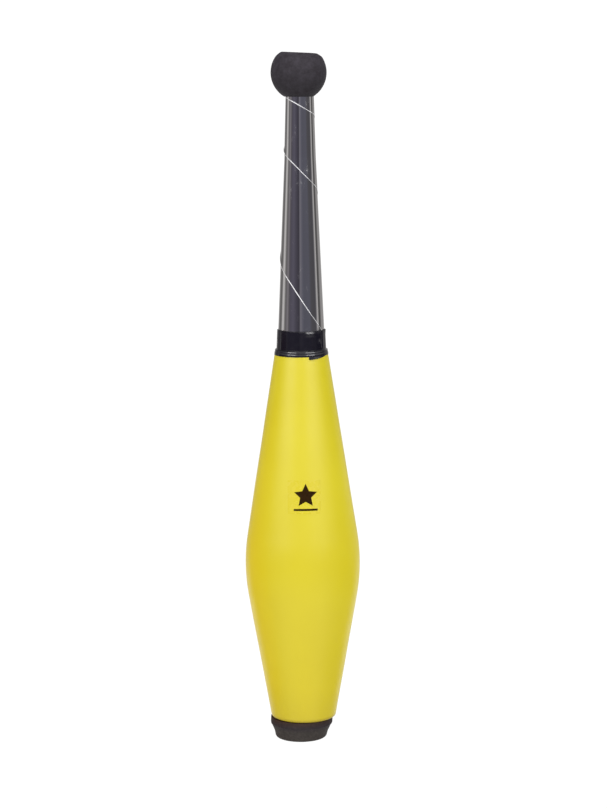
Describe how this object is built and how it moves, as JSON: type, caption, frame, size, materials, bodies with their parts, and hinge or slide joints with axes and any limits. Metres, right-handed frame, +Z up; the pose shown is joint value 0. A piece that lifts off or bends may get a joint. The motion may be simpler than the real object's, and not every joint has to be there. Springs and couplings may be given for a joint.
{
  "type": "juggling club",
  "caption": "Slim juggling club that stands on its end cap: hollow tapered body, foil-wrapped handle, taped neck, round foam knob and rubber end cap on a wooden dowel.",
  "frame": {"origin": "centre of the end cap's foot, on the surface that the club stands on", "axes": "+Z up the club's axis to the knob; -Y is the front, where the label is"},
  "size_m": [0.0866, 0.0866, 0.52],
  "materials": {
    "yellow_shell": "satin, slightly translucent blow-moulded polyethylene",
    "nylon_bush": "satin",
    "beech": "sanded, unvarnished",
    "grip_foam": "closed-cell foam",
    "rolled_sheet": "smooth polyester sheet",
    "mirror_film": "metallised polyester film, dark mirror gloss with fine scratches",
    "vinyl_tape": "glossy PVC tape",
    "zinc_steel": "zinc plated",
    "knob_foam": "matte fine-celled foam rubber",
    "cap_rubber": "matte moulded rubber",
    "clear_label": "clear vinyl film over the yellow body, with a plain star printed on it"
  },
  "bodies": {
    "root": {"body_shell": "yellow_shell", "neck_bush": "nylon_bush", "dowel_core": "beech", "handle_foam": "grip_foam", "handle_sleeve": "rolled_sheet", "mirror_foil": "mirror_film", "collar_tape": "vinyl_tape", "neck_tacks": "zinc_steel", "knob": "knob_foam", "knob_washer": "zinc_steel", "knob_screw": "zinc_steel", "end_cap": "cap_rubber", "end_washer": "zinc_steel", "end_screw": "zinc_steel", "label": "clear_label"}
  },
  "joints": []
}
